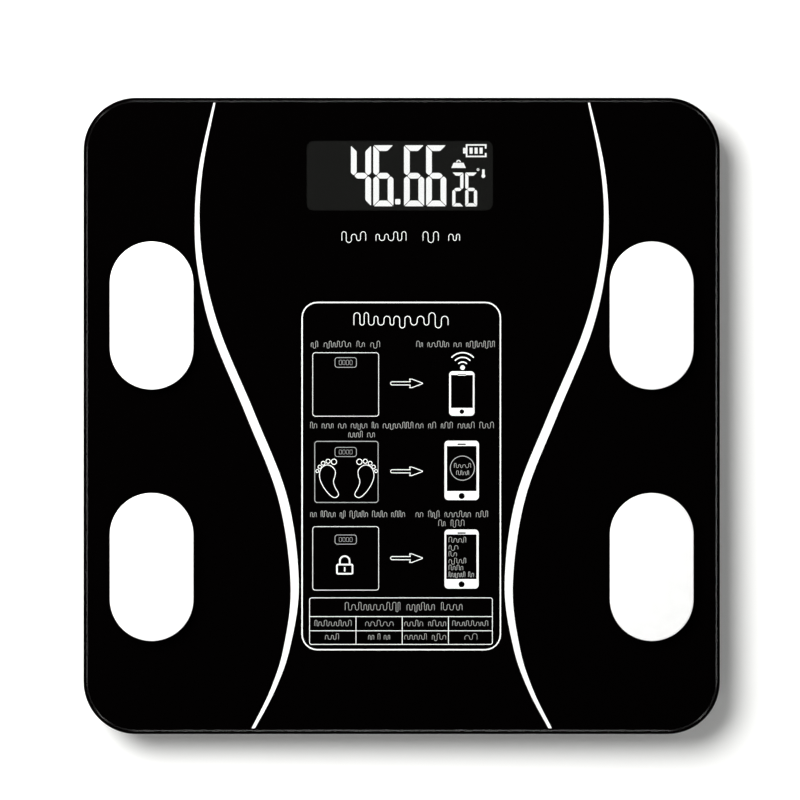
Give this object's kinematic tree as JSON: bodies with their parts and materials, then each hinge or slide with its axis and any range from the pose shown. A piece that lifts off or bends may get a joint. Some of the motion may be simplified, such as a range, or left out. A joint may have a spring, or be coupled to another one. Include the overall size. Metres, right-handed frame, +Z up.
{
  "type": "digital bathroom scale",
  "caption": "Square black glass weighing platform on a shallow plastic tray with steel foot electrodes, a display behind the glass, sprung feet and a battery door.",
  "frame": {"origin": "the middle of the footprint, on the floor that the four feet stand on", "axes": "+X to the user's right, +Y from the heels towards the toes and the display, +Z up"},
  "size_m": [0.26, 0.26, 0.024],
  "materials": {
    "clear_glass": "polished tempered glass with ground edges",
    "black_ink": "fired black screen print seen through glass",
    "white_ink": "white screen print seen through glass",
    "electrode_steel": "pale satin stainless sheet",
    "brass": "tinned brass",
    "zinc_steel": "zinc plated",
    "grey_wire": "vinyl wire cover",
    "red_wire": "vinyl wire cover",
    "white_wire": "vinyl wire cover",
    "black_wire": "vinyl wire cover",
    "foam_tape": "black foam tape",
    "black_foam": "black foam",
    "tray_plastic": "moulded, fine spark texture",
    "door_plastic": "moulded, fine spark texture",
    "cap_plastic": "moulded, satin",
    "button_plastic": "moulded grey plastic",
    "foot_rubber": "soft rubber with moulded rings",
    "seat_plastic": "moulded white plastic",
    "sensor_steel": "stamped spring steel",
    "gauge_sealant": "white silicone",
    "lcd_glass": "dark display glass",
    "light_guide": "moulded light guide",
    "silicone": "striped silicone",
    "frame_plastic": "moulded white plastic",
    "circuit_board": "green solder mask",
    "module_board": "blue solder mask and a metal can",
    "black_resin": "poured resin",
    "ceramic": "chip components",
    "connector_plastic": "nylon",
    "switch_plastic": "black nylon",
    "battery_can": "printed metal can, no name",
    "nickel_steel": "nickel plated spring steel"
  },
  "bodies": {
    "scale": {"glass_platform": "clear_glass", "black_print": "black_ink", "white_print": "white_ink", "electrode_terminals": "brass", "electrode_nuts": "zinc_steel", "electrode_wires": "grey_wire", "bonding_tape": "foam_tape", "base_tray": "tray_plastic", "strain_gauges": "gauge_sealant", "display_gasket": "black_foam", "lcd_cell": "lcd_glass", "lcd_backlight": "light_guide", "zebra_connector": "silicone", "display_frame": "frame_plastic", "main_circuit_board": "circuit_board", "board_screws": "zinc_steel", "controller_chip": "black_resin", "wireless_module": "module_board", "board_components": "ceramic", "wire_connectors": "connector_plastic", "switch_body": "switch_plastic", "battery_heel": "battery_can", "battery_toe": "battery_can", "battery_bridge_contact": "nickel_steel", "battery_positive_contact": "nickel_steel", "battery_negative_contact": "nickel_steel", "battery_lead_positive": "red_wire", "battery_lead_negative": "black_wire", "sensor_wires_red": "red_wire", "sensor_wires_white": "white_wire", "sensor_wires_black": "black_wire", "electrode_toe_left": "electrode_steel", "load_cell_toe_left": "sensor_steel", "sensor_seat_toe_left": "seat_plastic", "electrode_toe_right": "electrode_steel", "load_cell_toe_right": "sensor_steel", "sensor_seat_toe_right": "seat_plastic", "electrode_heel_left": "electrode_steel", "load_cell_heel_left": "sensor_steel", "sensor_seat_heel_left": "seat_plastic", "electrode_heel_right": "electrode_steel", "load_cell_heel_right": "sensor_steel", "sensor_seat_heel_right": "seat_plastic"},
    "foot_toe_left": {"foot_cap_toe_left": "cap_plastic", "foot_pad_toe_left": "foot_rubber"},
    "foot_toe_right": {"foot_cap_toe_right": "cap_plastic", "foot_pad_toe_right": "foot_rubber"},
    "foot_heel_left": {"foot_cap_heel_left": "cap_plastic", "foot_pad_heel_left": "foot_rubber"},
    "foot_heel_right": {"foot_cap_heel_right": "cap_plastic", "foot_pad_heel_right": "foot_rubber"},
    "door": {"battery_door": "door_plastic"},
    "button": {"unit_button": "button_plastic", "switch_plunger": "switch_plastic"}
  },
  "joints": [
    {"name": "foot_press_toe_left", "type": "slide", "parent": "scale", "child": "foot_toe_left", "axis": [0, 0, 1], "range_m": [0, 0.0005], "stiffness_N_per_m": 3000, "deforming": ["load_cell_toe_left"]},
    {"name": "foot_press_toe_right", "type": "slide", "parent": "scale", "child": "foot_toe_right", "axis": [0, 0, 1], "range_m": [0, 0.0005], "stiffness_N_per_m": 3000, "deforming": ["load_cell_toe_right"]},
    {"name": "foot_press_heel_left", "type": "slide", "parent": "scale", "child": "foot_heel_left", "axis": [0, 0, 1], "range_m": [0, 0.0005], "stiffness_N_per_m": 3000, "deforming": ["load_cell_heel_left"]},
    {"name": "foot_press_heel_right", "type": "slide", "parent": "scale", "child": "foot_heel_right", "axis": [0, 0, 1], "range_m": [0, 0.0005], "stiffness_N_per_m": 3000, "deforming": ["load_cell_heel_right"]},
    {"name": "battery_door_hinge", "type": "hinge", "parent": "scale", "child": "door", "pos_m": [0, 0.0215, 0.005], "axis": [-1, 0, 0], "range_deg": [0, 80]},
    {"name": "unit_button_press", "type": "slide", "parent": "scale", "child": "button", "axis": [0, 0, 1], "range_m": [0, 0.0004], "stiffness_N_per_m": 3000}
  ]
}
